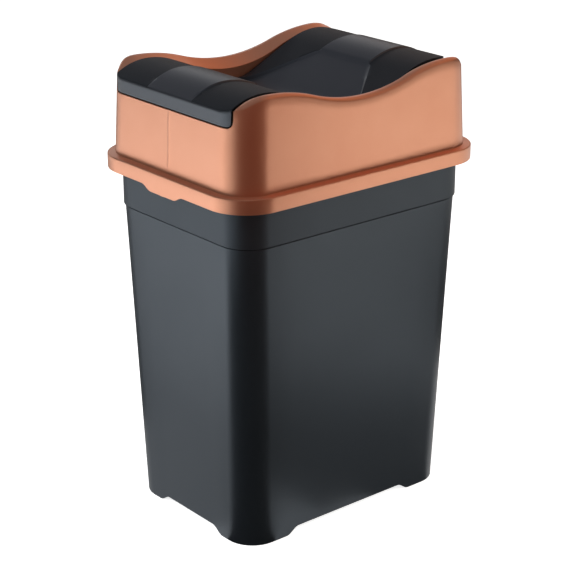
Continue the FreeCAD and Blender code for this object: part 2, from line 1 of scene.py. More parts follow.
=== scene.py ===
# %% [markdown]
# # A swing-lid trash can
# The can is three plastic mouldings and two pins: an anthracite bucket, a copper-coloured lid frame
# and an anthracite flap that rocks in the frame. The imported model gives every place and size, so it
# is loaded first, and the pieces take their sizes from the boxes of its parts. The finished pieces
# have to stay inside it.

# %% Load the imported model
import math

import bmesh
import bpy
from mathutils import Matrix, Vector


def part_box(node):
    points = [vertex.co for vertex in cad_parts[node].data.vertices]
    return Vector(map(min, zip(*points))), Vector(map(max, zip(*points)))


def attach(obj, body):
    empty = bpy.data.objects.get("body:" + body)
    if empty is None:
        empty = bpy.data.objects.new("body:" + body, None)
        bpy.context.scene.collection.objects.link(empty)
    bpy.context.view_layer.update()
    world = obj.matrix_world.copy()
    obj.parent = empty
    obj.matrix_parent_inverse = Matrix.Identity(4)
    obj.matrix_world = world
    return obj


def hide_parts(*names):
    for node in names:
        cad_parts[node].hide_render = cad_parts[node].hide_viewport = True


MM = 0.001
HAIR = 0.01 * MM
WELD = 0.001 * MM
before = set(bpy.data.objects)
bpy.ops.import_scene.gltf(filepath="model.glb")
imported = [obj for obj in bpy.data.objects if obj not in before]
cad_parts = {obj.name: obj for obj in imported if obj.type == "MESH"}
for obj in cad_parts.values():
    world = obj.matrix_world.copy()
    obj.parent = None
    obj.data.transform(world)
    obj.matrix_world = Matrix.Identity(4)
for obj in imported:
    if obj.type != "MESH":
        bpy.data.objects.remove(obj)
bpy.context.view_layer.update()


# %% [markdown]
# ## Camera
# The can is seen from in front of its right-hand corner and a little above, through a long lens.
# The place was found by lining up the edges of the model with the edges in the photograph. The
# small sideways shift frames it.

# %% Camera
def point_at(thing, place, aim):
    """Puts a camera or a lamp in its place and turns it towards a spot."""
    thing.location = place
    thing.rotation_mode = "QUATERNION"
    thing.rotation_quaternion = (Vector(aim) - Vector(place)).to_track_quat("-Z", "Y")
    bpy.context.scene.collection.objects.link(thing)


camera = bpy.data.objects.new("camera", bpy.data.cameras.new("camera"))
camera.data.lens = 108.08
camera.data.shift_x = -0.0046
point_at(camera, (1.2069, -1.0021, 0.8047), (0, 0, 0.2068))
bpy.context.scene.camera = camera
bpy.context.scene.view_settings.view_transform = "Standard"
print("camera", [round(v, 3) for v in camera.location])


# %% [markdown]
# ## Tools for the finishes
# Every finish is a small network of shader nodes on one Principled surface. The first helpers turn
# a written sRGB colour into the linear colour that shaders need, add a node and wire it in, and
# start a finish with its surface and the object's own coordinates, in metres.

# %% Colour, node and finish helpers
def linear(hex_colour):
    """An sRGB hex value as the linear colour that shaders work in."""
    shares = [int(hex_colour[i:i + 2], 16) / 255 for i in (1, 3, 5)]
    return tuple(c / 12.92 if c <= 0.04045 else ((c + 0.055) / 1.055) ** 2.4
                 for c in shares) + (1.0,)


def add_node(tree, kind, settings=None, inputs=None, links=None):
    """Adds a node, sets its properties and sockets, and links other nodes' outputs to it."""
    node = tree.nodes.new(kind)
    for name, value in (settings or {}).items():
        setattr(node, name, value)
    for name, value in (inputs or {}).items():
        node.inputs[name].default_value = value
    for name, output in (links or {}).items():
        tree.links.new(output, node.inputs[name])
    return node


def start_finish(name, **sockets):
    """A new material with its Principled surface's plain values set, and its object coordinates."""
    finish = bpy.data.materials.new(name)
    finish.use_nodes = True
    surface = finish.node_tree.nodes["Principled BSDF"]
    for key, value in sockets.items():
        surface.inputs[key.replace("_", " ")].default_value = value
    place = add_node(finish.node_tree, "ShaderNodeTexCoord").outputs["Object"]
    return finish, finish.node_tree, surface, place


# %% [markdown]
# The other helpers are the steps that all the finishes share: a noise, a colour and a gloss that
# follow it, a relief, and the links to the surface.

# %% Noise, colour, gloss and relief helpers
def per_metre(millimetres):
    """How many steps of this many millimetres fit in a metre."""
    return 1 / (millimetres * MM)


def noise(tree, place, spot, detail):
    """The value of a noise whose spots are about this many millimetres across."""
    return add_node(tree, "ShaderNodeTexNoise", inputs={"Scale": per_metre(spot), "Detail": detail},
                    links={"Vector": place}).outputs["Fac"]


def blend(tree, part, dark, light):
    """A colour between two others."""
    return add_node(tree, "ShaderNodeMix", {"data_type": "RGBA"},
                    {6: linear(dark), 7: linear(light)}, {0: part}).outputs[2]


def spread(tree, value, low, high):
    """A value from 0 to 1, spread between two others."""
    return add_node(tree, "ShaderNodeMapRange", inputs={"To Min": low, "To Max": high},
                    links={"Value": value}).outputs["Result"]


def relief(tree, height, strength, distance):
    """A surface direction that follows a height."""
    return add_node(tree, "ShaderNodeBump", inputs={"Strength": strength, "Distance": distance},
                    links={"Height": height}).outputs[0]


def calculate(tree, operation, values, links):
    """The result of a sum with numbers and other nodes' values."""
    return add_node(tree, "ShaderNodeMath", {"operation": operation}, values, links).outputs[0]


def wire(tree, surface, colour, gloss, direction):
    """Links a colour, a roughness and a direction to a surface."""
    for name, output in (("Base Color", colour), ("Roughness", gloss), ("Normal", direction)):
        tree.links.new(output, surface.inputs[name])


# %% [markdown]
# ## Anthracite polypropylene
# The bucket is injection moulded from dark grey polypropylene in a lightly blasted mould. That
# leaves a satin skin: soft reflections, a grain too fine to see as dots, and slow changes of gloss
# where the melt flowed. The band under the lid comes from a coarser part of the mould and shines
# less. The grain is drawn at 0.9 mm, about three times its real size, so that it shows at all.

# %% Bucket finish
band_level, band_dulling = 300.0 * MM, 0.06
grain_strength, band_strength = 0.10, 0.22
bucket_finish, tree, surface, place = start_finish(
    "moulded anthracite polypropylene", Specular_IOR_Level=1.0, Specular_Tint=linear("#dbedff"))
flow, grain = noise(tree, place, 70, 3.0), noise(tree, place, 0.9, 2.0)
height = add_node(tree, "ShaderNodeSeparateXYZ", links={0: place}).outputs["Z"]
in_band = calculate(tree, "GREATER_THAN", {1: band_level}, {0: height})
gloss = calculate(tree, "MULTIPLY_ADD", {1: band_dulling},
                  {0: in_band, 2: spread(tree, flow, 0.36, 0.46)})
depth = calculate(tree, "MULTIPLY_ADD", {1: band_strength, 2: grain_strength}, {0: in_band})
bump = add_node(tree, "ShaderNodeBump", inputs={"Distance": 0.06 * MM},
                links={"Height": grain, "Strength": depth})
wire(tree, surface, blend(tree, flow, "#171a1e", "#1c2024"), gloss, bump.outputs[0])
print("finish", bucket_finish.name, len(tree.nodes), "nodes")

# %% [markdown]
# ## Copper-pigmented plastic
# The lid frame is plastic with copper-coloured metal flakes under a satin lacquer. Flakes act like
# a metal: the colour is in the reflections, so a wall is bright where it mirrors the white floor
# and deep red-brown where it mirrors something dark. The flakes lie a little unevenly, which makes
# the gloss vary in grains. The lacquer on top reflects white light of its own and softens the
# colour where the light is strong.

# %% Lid finish
copper_finish, tree, surface, place = start_finish(
    "copper flake plastic under satin lacquer", Metallic=0.92, Coat_Weight=0.6,
    Coat_Roughness=0.36, Coat_IOR=1.7)
flakes, cloud = noise(tree, place, 0.8, 2.0), noise(tree, place, 45, 2.0)
wire(tree, surface, blend(tree, cloud, "#e89f7b", "#efab88"), spread(tree, flakes, 0.38, 0.5),
     relief(tree, flakes, 0.08, 0.05 * MM))
print("finish", copper_finish.name, len(tree.nodes), "nodes")


# %% [markdown]
# ## The flap's two finishes
# The flap is the same polypropylene with two textures side by side. The wings at its sides are
# grained like leather so that scratches don't show, and look matt and dark. The middle and the lip
# are smoother, so that they catch long soft highlights. Both are one recipe with different numbers.

# %% Flap finishes
def flap_plastic(name, dark, light, level, gloss_range, grain_size, grain_depth):
    """Anthracite polypropylene with a grain of a given size and depth."""
    finish, tree, surface, place = start_finish(
        name, Specular_IOR_Level=level, Specular_Tint=linear("#dceafb"))
    flow, grain = noise(tree, place, 40, 3.0), noise(tree, place, grain_size, 3.0)
    wire(tree, surface, blend(tree, flow, dark, light), spread(tree, grain, *gloss_range),
         relief(tree, grain, grain_depth, 0.1 * MM))
    return finish


wing_finish = flap_plastic("grained anthracite polypropylene", "#131518", "#191b1e",
                           0.4, (0.5, 0.66), 0.8, 0.5)
panel_finish = flap_plastic("satin anthracite polypropylene", "#1c1d20", "#222326",
                            1.0, (0.32, 0.4), 1.2, 0.06)
print("finishes", wing_finish.name, "and", panel_finish.name)

# %% [markdown]
# ## Acetal
# Hinge pins on such cans are acetal, a hard slippery plastic. It comes out of a polished mould
# nearly black with a waxy shine and faint rings, drawn nearly 4 mm apart. A Wave texture of scale 1
# draws a ring every tau / 20 of a metre.

# %% Pin finish
ring_gap, wave_gap = 0.6 * math.tau, math.tau / 20
pin_finish, tree, surface, place = start_finish("turned acetal", Base_Color=linear("#1d1e20"))
rings = add_node(tree, "ShaderNodeTexWave", {"bands_direction": "X"},
                 {"Scale": per_metre(ring_gap) * wave_gap}, {"Vector": place})
tree.links.new(spread(tree, rings.outputs["Fac"], 0.2, 0.34), surface.inputs["Roughness"])
print("finish", pin_finish.name)


# %% [markdown]
# ## Handing a finished shape over
# Each new piece stands in for one node of the imported model: it hides that node and moves with the
# same body. A last Bevel modifier breaks the remaining sharp edges, because moulded plastic has none,
# and its hardened normals keep the flat faces flat. Edges with no room for it beside them are left
# out.

# %% Piece and number helpers
sharp_angle, bevel_room = math.radians(32), 1.1


def hand_over(name, bm, node, body, finishes, edge_round):
    """Makes an object of a bmesh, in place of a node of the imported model."""
    weight = bm.edges.layers.float.new("bevel_weight_edge")
    for e in bm.edges:
        if e.is_manifold and e.calc_face_angle() > sharp_angle:
            around = {near for v in e.verts for f in v.link_faces for near in f.edges}
            room = min(near.calc_length() for near in around)
            e[weight] = 1.0 if room > bevel_room * edge_round else 0.0
    mesh = bpy.data.meshes.new(name)
    bm.to_mesh(mesh)
    bm.free()
    for finish in finishes:
        mesh.materials.append(finish)
    mesh.shade_smooth()
    mesh.set_sharp_from_angle(angle=sharp_angle)
    piece = bpy.data.objects.new(name, mesh)
    bpy.context.scene.collection.objects.link(piece)
    if edge_round:
        bevel = piece.modifiers.new("broken edges", "BEVEL")
        bevel.width = edge_round
        bevel.segments = 2
        bevel.limit_method = "WEIGHT"
        bevel.use_clamp_overlap = False
        bevel.harden_normals = True
    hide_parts(node)
    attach(piece, body)
    print(name, len(mesh.vertices), "vertices,", len(mesh.polygons), "faces")


def share(a, b, part):
    """The value a given part of the way from a to b."""
    return a + (b - a) * part


def limit(value):
    """A value kept between 0 and 1."""
    return min(max(value, 0), 1)


# %% [markdown]
# ## Bucket
# The bucket is one thin moulding: four feet, a tapered wall, a proud band under the lid with a fine
# groove below it, a rim that turns over, and the inside. All of its level cuts are rounded
# rectangles, so one rounded face is made once, by bevelling the corners of a square, and is then
# extruded from cut to cut: up the outside, over the rim and down the inside. Each extrusion is
# moved to its cut by sliding the corners, which keeps the corner arcs round.

# %% Bucket outlines, as half width, half length and corner
_, (rim_x, rim_y, bucket_top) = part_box("bucket")
rim_reach_x, rim_reach_y, rim_grow, rim_drop = 9.2 * MM, 10.2 * MM, 6.7 * MM, 8 * MM
band_x, band_y = rim_x - rim_reach_x, rim_y - rim_reach_y
band_step, bucket_taper, bucket_wall = 1.6 * MM, 9.5 * MM, 2.2 * MM
groove_foot, groove_top, groove_depth = 1.4 * MM, 0.3 * MM, 1.0 * MM
foot_height, foot_ring, floor_top = 6.8 * MM, 7 * MM, 9.4 * MM
wall_x, wall_y, wall_corner = band_x - band_step, band_y - band_step, 29 * MM
base_x, base_y = wall_x - bucket_taper, wall_y - bucket_taper
base, wall = (base_x, base_y, wall_corner), (wall_x, wall_y, wall_corner)
band = (band_x, band_y, wall_corner + band_step)
rim = (rim_x, rim_y, wall_corner + band_step + rim_grow)
floor_shrink = bucket_taper * (1 - floor_top / band_level) + bucket_wall
floor = (wall_x - floor_shrink, wall_y - floor_shrink, wall_corner - bucket_wall)
print("base half", round(base_x, 4), round(base_y, 4))


# %% Bucket cuts, from the sunken underside to the inside floor
def cut(outline, inset, z):
    """A level cut: an outline drawn in by an inset, and its height."""
    return tuple(size - inset for size in outline) + (z,)


rim_under = bucket_top - rim_drop
bucket_cuts = [
    cut(base, foot_ring, foot_height), cut(base, foot_ring, 0), cut(base, 0, 0),
    cut(wall, 0, band_level - groove_foot), cut(wall, groove_depth, band_level - groove_top),
    cut(band, 0, band_level), cut(band, 0, bucket_top - bucket_wall),
    cut(rim, bucket_wall, bucket_top - bucket_wall), cut(rim, bucket_wall, rim_under),
    cut(rim, 0, rim_under), cut(rim, 0, bucket_top),
    cut(wall, bucket_wall, bucket_top), cut(wall, bucket_wall, band_level),
    cut(floor, 0, floor_top),
]
print("bucket cuts", len(bucket_cuts))


# %% Bucket shell
def slide_corners(verts, old, new):
    """Moves a rounded rectangle's points from one cut to another."""
    for v in verts:
        for axis in (0, 1):
            arc = (abs(v.co[axis]) - (old[axis] - old[2])) * new[2] / old[2]
            v.co[axis] = math.copysign(new[axis] - new[2] + arc, v.co[axis])
        v.co.z = new[3]


first_x, first_y, first_corner, _ = bucket_cuts[0]
bm = bmesh.new()
bmesh.ops.create_grid(bm, x_segments=1, y_segments=1, size=1)
bmesh.ops.scale(bm, vec=(first_x, first_y, 1), verts=bm.verts)
bmesh.ops.bevel(bm, geom=bm.verts[:], offset=first_corner, offset_type="OFFSET",
                affect="VERTICES", segments=14, profile=0.5, material=-1)
underside = bm.faces[:][0]
slide_corners(underside.verts, bucket_cuts[0], bucket_cuts[0])
cap = bmesh.ops.duplicate(bm, geom=[underside])
leading = [g for g in cap["geom"] if isinstance(g, bmesh.types.BMFace)][0]
for old, new in zip(bucket_cuts, bucket_cuts[1:]):
    leading = bmesh.ops.extrude_discrete_faces(bm, faces=[leading])["faces"][0]
    slide_corners(leading.verts, old, new)
bmesh.ops.remove_doubles(bm, verts=bm.verts, dist=WELD)
print("bucket shell", len(bm.verts), "vertices")

# %% [markdown]
# Between its four feet the bucket's lower edge rises in a soft S to a finger gap. The wall is
# sliced by upright planes where each S runs, and the points of the sole that lie between are lifted
# along the S.

# %% Slices where the finger gaps end
gap_run, slice_step = 7.5 * MM, 1.5 * MM
foot_width, foot_length = 47 * MM, 54.5 * MM
gap_front, gap_side = base_x - foot_width, base_y - foot_length
for axis, gap in ((0, gap_front), (1, gap_side)):
    for side in (-1, 1):
        for step in range(-5, 6):
            spot, normal = Vector((0, 0, 0)), Vector((0, 0, 0))
            spot[axis] = side * (gap + step * slice_step)
            normal[axis] = 1
            bmesh.ops.bisect_plane(bm, geom=bm.verts[:] + bm.edges[:] + bm.faces[:],
                                   plane_co=spot, plane_no=normal)
print("sliced bucket", len(bm.verts), "vertices")


# %% Finger gaps between the feet
def foot_lift(distance, gap):
    """The sole's rise at a distance from the middle of a wall, for a gap of a given half length."""
    part = limit((gap + gap_run - distance) / (2 * gap_run))
    return foot_height * (0.5 - 0.5 * math.cos(math.pi * part))


for v in bm.verts:
    if v.co.z < HAIR:
        v.co.z = 0
        if abs(v.co.y) > base_y - foot_ring - HAIR:
            if abs(v.co.x) < base_x - wall_corner:
                v.co.z = foot_lift(abs(v.co.x), gap_front)
        elif abs(v.co.y) < base_y - wall_corner:
            v.co.z = foot_lift(abs(v.co.y), gap_side)
bmesh.ops.remove_doubles(bm, verts=bm.verts, dist=WELD)
bmesh.ops.dissolve_degenerate(bm, dist=WELD, edges=bm.edges)
bmesh.ops.recalc_face_normals(bm, faces=bm.faces)
hand_over("bucket_moulding", bm, "bucket", "bucket", [bucket_finish],
          0.5 * MM)


# %% [markdown]
# ## Flap
# The flap is one sheet: a lip that hangs over the front notch, a hump, a deep valley over the
# hinge, a second hump and a tail that turns down. A runner stands a little proud of it along the
# middle of both humps. Between the two knees the runner steps down into a sunken panel that flares
# out to the full width in the valley. The sheet is a grid whose rows follow the wave and whose
# columns follow the edges of runner and panel, so that every crease lies on a line of the grid.
# First comes the wave as a formula.

# %% The flap's wave
flap_low, flap_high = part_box("swing_flap")
runner_rise = 1.3 * MM
flap_half, crest = flap_high[0], flap_high[2] - runner_rise
crest_y, crest_radius, end_radius, valley_radius = 103 * MM, 80 * MM, 64 * MM, 50 * MM
slope = math.radians(26)
slope_end = crest_y - crest_radius * math.sin(slope)
valley_end = valley_radius * math.sin(slope)
slope_drop = (slope_end - valley_end) * math.tan(slope)
valley = crest - (crest_radius + valley_radius) * (1 - math.cos(slope)) - slope_drop


def wing_height(y):
    """The height of the flap's wings at a distance along the can."""
    y = abs(y)
    if y > crest_y:
        return crest - end_radius + math.sqrt(end_radius ** 2 - (y - crest_y) ** 2)
    if y > slope_end:
        return crest - crest_radius + math.sqrt(crest_radius ** 2 - (crest_y - y) ** 2)
    if y > valley_end:
        return valley + valley_radius * (1 - math.cos(slope)) + (y - valley_end) * math.tan(slope)
    return valley + valley_radius - math.sqrt(valley_radius ** 2 - y ** 2)


print("flap valley", round(valley, 4), "slope ends", round(slope_end, 4))

# %% [markdown]
# Then come the edges of the runner and the panel, and how far the middle lies above or below the
# wings. In the photograph the panel's shading grows darker towards the valley, so here it deepens.

# %% The flap's runner and panel
knee_x, knee_y, flare_y, step_half = 34.5 * MM, 65.93 * MM, 2 * MM, 1.8 * MM
runner_taper, runner_run, runner_fade = 3.5 * MM, 104 * MM, 32.4 * MM
narrow_step, knee_step = 0.8 * MM, 3.2 * MM
knee_depth, panel_deepening = 1.0 * MM, 3.0 * MM


def flare_part(y):
    """How far a place is from the knee, 0, to the end of the panel's flare, 1."""
    return limit((knee_y - abs(y)) / (knee_y - flare_y))


def panel_edge(y):
    """Half the width of the runner or the panel at a distance along the can."""
    y = abs(y)
    if y > knee_y:
        return knee_x - runner_taper * (y - knee_y) / runner_run
    return min(knee_x + (knee_y - y) * (flap_half - knee_x) / (knee_y - flare_y), flap_half)


def step_run(y):
    """The width of the sloping edge: narrow by the runner, widest at the knee, then closing up."""
    flare = flare_part(y)
    return share(knee_step, narrow_step, flare) if flare else narrow_step


def middle_rise(y):
    """How far the middle lies above the wings: proud on the humps, sunk between the knees."""
    sunk = -knee_depth - panel_deepening * flare_part(y)
    proud = runner_rise * (1 - limit((abs(y) - crest_y) / runner_fade) ** 2)
    return share(sunk, proud, limit((abs(y) - knee_y + step_half) / (2 * step_half)))


print("panel's depth in the valley", round(middle_rise(0), 4))

# %% [markdown]
# The grid's columns run from edge to edge: wing, step, middle, step, wing. Towards the wing's edge
# they close up, to draw the rounded corners. The rows start at the foot of the lip, go up its face,
# over the wave and down the tail, and near both ends they bend to the lip's and the tail's rounded
# plan. Rows also lie on the panel's creases, at the knees and where the flare ends.

# %% Flap columns and rows
middle_steps = [i / 12 for i in range(13)]
wing_steps = [0.1 * i for i in range(1, 6)]
wing_steps += [0.5 + 0.5 * math.sin(math.radians(9 * i)) for i in range(1, 11)]
half_columns = [("middle", part) for part in middle_steps]
half_columns += [("wing", part) for part in [0.0] + wing_steps]
columns = [(-1, *c) for c in reversed(half_columns)] + [(1, *c) for c in half_columns[1:]]
creases = {2.0, 64.13, 65.93, 67.73}
wave_steps = {i * 2.5 for i in range(-40, 41) if abs(i) != 26}
wave_steps = sorted(wave_steps | creases | {-y for y in creases})
rows = [("lip", i / 4) for i in range(4)] + [("front", i / 14) for i in range(14)]
rows += [("wave", y * MM) for y in wave_steps]
rows += [("back", i / 14) for i in range(1, 15)] + [("tail", i / 4) for i in range(1, 5)]
front_from, back_from = wave_steps[0] * MM, wave_steps[-1] * MM
print("flap grid", len(columns), "columns,", len(rows), "rows")

# %% The flap's points
lip_y, lip_corner, lip_foot = -flap_low[1], 31 * MM, 409.66 * MM
lip_centre, lip_foot_round = 70.9 * MM, 4.6 * MM
tail_y, tail_corner, tail_foot = flap_high[1], 26 * MM, 410.4 * MM
tail_centre = flap_half - tail_corner


def end_line(x, reach, corner, centre):
    """The plan of a rounded end: how far it reaches at a distance from the middle line."""
    over = max(abs(x) - centre, 0)
    return reach - corner + math.sqrt(max(corner ** 2 - over ** 2, 0))


def flap_point(column, row):
    """The place of one point of the flap's upper skin."""
    side, part_name, part = column
    kind, along = row
    y = {"lip": -lip_y, "front": share(-lip_y, front_from, along), "wave": along,
         "back": share(back_from, tail_y, along), "tail": tail_y}[kind]
    edge = panel_edge(y)
    run = min(step_run(y), flap_half - edge)
    x = edge * part if part_name == "middle" else share(edge + run, flap_half, part)
    if kind in ("lip", "front"):
        front = -end_line(x, lip_y, lip_corner, lip_centre)
        y = share(front, front_from, along if kind == "front" else 0)
    if kind in ("back", "tail"):
        back = end_line(x, tail_y, tail_corner, tail_centre)
        y = share(back_from, back, along if kind == "back" else 1)
    z = wing_height(y) + (middle_rise(y) if part_name == "middle" else 0)
    if kind == "lip":
        over = max(abs(x) - (flap_half - lip_foot_round), 0)
        foot = lip_foot + lip_foot_round - math.sqrt(lip_foot_round ** 2 - over ** 2)
        z = share(foot, z, along)
    if kind == "tail":
        z = share(z, tail_foot, along)
    return Vector((side * x, y, z))


# %% [markdown]
# The points of a flat grid are moved to the wave. Each face then gets the smooth or the grained
# finish, the lip's upper edge is rounded, and the sheet gets its thickness downwards.

# %% Flap sheet and its two finishes
bm = bmesh.new()
bmesh.ops.create_grid(bm, x_segments=len(columns) - 1, y_segments=len(rows) - 1, size=0.5)
for v in bm.verts:
    column = columns[round((v.co.x + 0.5) * (len(columns) - 1))]
    row = rows[round((v.co.y + 0.5) * (len(rows) - 1))]
    v.co = flap_point(column, row)
bm.normal_update()
for f in bm.faces:
    centre = f.calc_center_median()
    in_middle = abs(centre.x) < panel_edge(centre.y) + step_run(centre.y)
    on_lip = centre.y < 0 and abs(f.normal.y) > 0.75
    f.material_index = 1 if in_middle or on_lip else 0
bmesh.ops.remove_doubles(bm, verts=bm.verts, dist=0.02 * MM)
bmesh.ops.dissolve_degenerate(bm, dist=WELD, edges=bm.edges)
print("flap sheet", len(bm.verts), "vertices")


# %% The lip's rounded edge and the flap's thickness
lip_zone, lip_bend, lip_round, flap_wall = 6 * MM, math.radians(40), 1.5 * MM, 2.4 * MM


def along_lip(e):
    """Whether an edge runs along the sharp bend between the lip and the wave."""
    a, b = (v.co for v in e.verts)
    at_lip = max(a.y, b.y) < -lip_y + lip_zone
    level = abs(a.y - b.y) < 2.5 * MM and abs(a.z - b.z) < 1.5 * MM
    return e.is_manifold and e.calc_face_angle() > lip_bend and at_lip and level


lip_edges = [e for e in bm.edges if along_lip(e)]
bmesh.ops.bevel(bm, geom=lip_edges, offset=lip_round, offset_type="OFFSET", affect="EDGES",
                segments=4, profile=0.5, material=-1, clamp_overlap=True)
bmesh.ops.recalc_face_normals(bm, faces=bm.faces)
if sum(f.normal.z * f.calc_area() for f in bm.faces) < 0:
    bmesh.ops.reverse_faces(bm, faces=bm.faces)
bmesh.ops.solidify(bm, geom=bm.faces[:], thickness=flap_wall)
print("lip edges rounded", len(lip_edges))

# %% [markdown]
# Two ears hang under the valley and carry the flap on its pins. Each is a ring between a round hole
# and a U-shaped outline, made by bridging two circles and extruding the ring to the ear's
# thickness. The upper half of the outer circle is then pulled up straight into the flap's sheet.

# %% Hinge ears
pin_low, pin_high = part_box("hinge_pin_right")
pivot = Vector((0, (pin_low[1] + pin_high[1]) / 2, (pin_low[2] + pin_high[2]) / 2))
ear_inside, ear_wall, ear_radius, bore = 78.5 * MM, 5 * MM, 8 * MM, 3.06 * MM
sheet_middle = 1.2 * MM
quarter_turn = Matrix.Rotation(math.radians(90), 4, "Y")


def points_of(geometry):
    """The points among the results of an operator."""
    return [g for g in geometry if isinstance(g, bmesh.types.BMVert)]


for side in (-1, 1):
    turn = Matrix.Translation(pivot + Vector((side * ear_inside, 0, 0))) @ quarter_turn
    outline, hole = (bmesh.ops.create_circle(bm, cap_ends=False, radius=radius, segments=32,
                                             matrix=turn)["verts"] for radius in (ear_radius, bore))
    loops = {e for v in outline + hole for e in v.link_edges}
    plate = bmesh.ops.bridge_loops(bm, edges=list(loops))["faces"]
    grown = bmesh.ops.extrude_face_region(bm, geom=plate)["geom"]
    bmesh.ops.translate(bm, vec=(side * ear_wall, 0, 0), verts=points_of(grown))
    shell = {f for v in outline + hole for f in v.link_faces}
    shell |= {g for g in grown if isinstance(g, bmesh.types.BMFace)}
    for v in {v for f in shell for v in f.verts}:
        if v.co.z > pivot.z + 0.1 * MM and (v.co - pivot).yz.length > ear_radius - 0.1 * MM:
            sunk = middle_rise(v.co.y) if abs(v.co.x) < panel_edge(v.co.y) else 0
            v.co.z = wing_height(v.co.y) + sunk - sheet_middle
    bmesh.ops.recalc_face_normals(bm, faces=list(shell))
hand_over("flap_moulding", bm, "swing_flap", "flap",
          [wing_finish, panel_finish], 0.35 * MM)


# %% [markdown]
# ## Lid frame
# The frame is one thin moulding with the same shape in all four quarters, apart from the pull tab:
# a skirt over the bucket's rim, a ledge, a leaning wall, a wavy rim with a sloping inner facet, and
# a cheek that hangs down beside the flap. At the front and back the wall is cut out for the flap.
# One quarter is drawn as two grids that share an edge, the wall and the rail, and is then mirrored
# twice. First comes the wave of the rim as a formula.

# %% The frame's sizes and the rail's wave
_, (skirt_x, skirt_y, rim_crest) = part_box("lid_frame")
skirt_corner, skirt_foot, ledge_level, ledge = 40 * MM, 336 * MM, 350 * MM, 8 * MM
collar_x, collar_y, collar_corner = skirt_x - ledge, skirt_y - ledge, 31 * MM
lean = math.tan(math.radians(2.25))
crest_reach, rim_end = collar_y - 34 * MM, 46 * MM
rim_dip, facet_dip, facet_drop = 17.4 * MM, 23.1 * MM, 3.4 * MM
crown_x, mouth_x, cheek_foot = 95.5 * MM, 86.5 * MM, 377.3 * MM
notch_level, notch_round = 408.66 * MM, 6 * MM
notch_side = notch_level + notch_round


def swell(y, top, drop):
    """A rail's height along the can: a crest, an even S down to the valley, and a rounded end."""
    y = abs(y)
    if y > crest_reach:
        return top - rim_end + math.sqrt(rim_end ** 2 - (y - crest_reach) ** 2)
    half_run, half_drop = crest_reach / 2, drop / 2
    radius = (half_run ** 2 + half_drop ** 2) / (2 * half_drop)
    if y > half_run:
        return top - radius + math.sqrt(radius ** 2 - (crest_reach - y) ** 2)
    return top - drop + radius - math.sqrt(radius ** 2 - y ** 2)


def rail_height(x, y):
    """The height of the rail's upper side: level outside the crown, sloping to the mouth inside."""
    part = limit((x - mouth_x) / (crown_x - mouth_x))
    return share(swell(y, rim_crest - facet_drop, facet_dip), swell(y, rim_crest, rim_dip), part)


# %% [markdown]
# A place along a quarter of the wall is one number: 0 to 1 along the front, 1 to 2 round the corner
# and 2 to 3 along the side. Formulas turn it into a point and back.

# %% Places along the wall
def ring_point(half_x, half_y, corner, place):
    """A point of a quarter of a rounded rectangle."""
    if place <= 1:
        return place * (half_x - corner), -half_y
    if place <= 2:
        turn = math.radians(90) * (place - 1)
        x = half_x - corner + corner * math.sin(turn)
        return x, -(half_y - corner + corner * math.cos(turn))
    return half_x, -(half_y - corner) * (3 - place)


def collar_point(place, z):
    """A point of the leaning wall's outside."""
    inset = (z - ledge_level) * lean
    return Vector((*ring_point(collar_x - inset, collar_y - inset, collar_corner, place), z))


def place_at_x(x, z):
    """Where the wall's outside is at a distance from the middle line, on the front or corner."""
    straight = collar_x - (z - ledge_level) * lean - collar_corner
    if x <= straight:
        return x / straight
    return 1 + math.asin((x - straight) / collar_corner) / math.radians(90)


def place_at_y(y, z):
    """Where the wall's outside is at a distance from the middle, on the corner or side."""
    straight = collar_y - (z - ledge_level) * lean - collar_corner
    if y <= straight:
        return 3 - y / straight
    return 1 + math.acos(min((y - straight) / collar_corner, 1)) / math.radians(90)


# %% [markdown]
# The wall's upper edge runs along the notch's floor, round its corner, up its side to the rail's
# tip, and then along the rail to the middle of the side. It is kept as pairs of a place and a
# height.

# %% The wall's upper edge at the notch
tip_y = 134.72 * MM
tip = rail_height(mouth_x, tip_y)
floor_x = [0, 0.3, 3, 6, 9, 12, 15, 17, 19, 21, 23, 25, 27, 29, 31, 34, 38, 42, 46, 50, 54, 58, 62,
           66, 70, 74, 77.5, 80.5]
edge_line = [(place_at_x(x * MM, notch_level), notch_level) for x in floor_x]
for step in range(1, 7):
    turn = math.radians(15 * step)
    z = notch_level + notch_round * (1 - math.cos(turn))
    edge_line.append((place_at_x(mouth_x - notch_round + notch_round * math.sin(turn), z), z))
upright_steps = 5
upright = [share(notch_side, tip, step / upright_steps) for step in range(1, upright_steps + 1)]
edge_line += [(place_at_x(mouth_x, z), z) for z in upright]
tip_index = len(edge_line) - 1
print("notch edge", len(edge_line), "points, tip height", round(tip, 4))

# %% The wall's upper edge along the rail
rail_round, first_guess = 3.6 * MM, 430 * MM
edge_steps, tip_steps = (0.7, 1.5, 2.3), (4.2, 6, 8, 10.5, 13, 16, 19.5, 23, 26.7)
rail_y = [tip_y - step * MM for step in edge_steps + tip_steps]
tip_columns = len(rail_y)
rail_y += [share(rail_y[-1], 0, step / 30) for step in range(1, 31)]


def rail_section(y):
    """The rail's outside x at a distance along the can, and the radius of its rounded edge."""
    outside = collar_point(place_at_y(y, first_guess), first_guess).x
    for _ in range(4):
        z = rail_height(outside, y)
        outside = collar_point(place_at_y(y, z), z).x
    return outside, min(rail_round, 0.5 * max(outside - mouth_x, 0))


for y in rail_y:
    outside, radius = rail_section(y)
    z = rail_height(outside - radius, y) - radius
    edge_line.append((place_at_y(y, z), z))
print("wall columns", len(edge_line))

# %% [markdown]
# Where the edge goes straight up, the grid's columns fan out below it, so that no two of them
# cross: the feet are shared out evenly between the last plain column on each side and the tip.

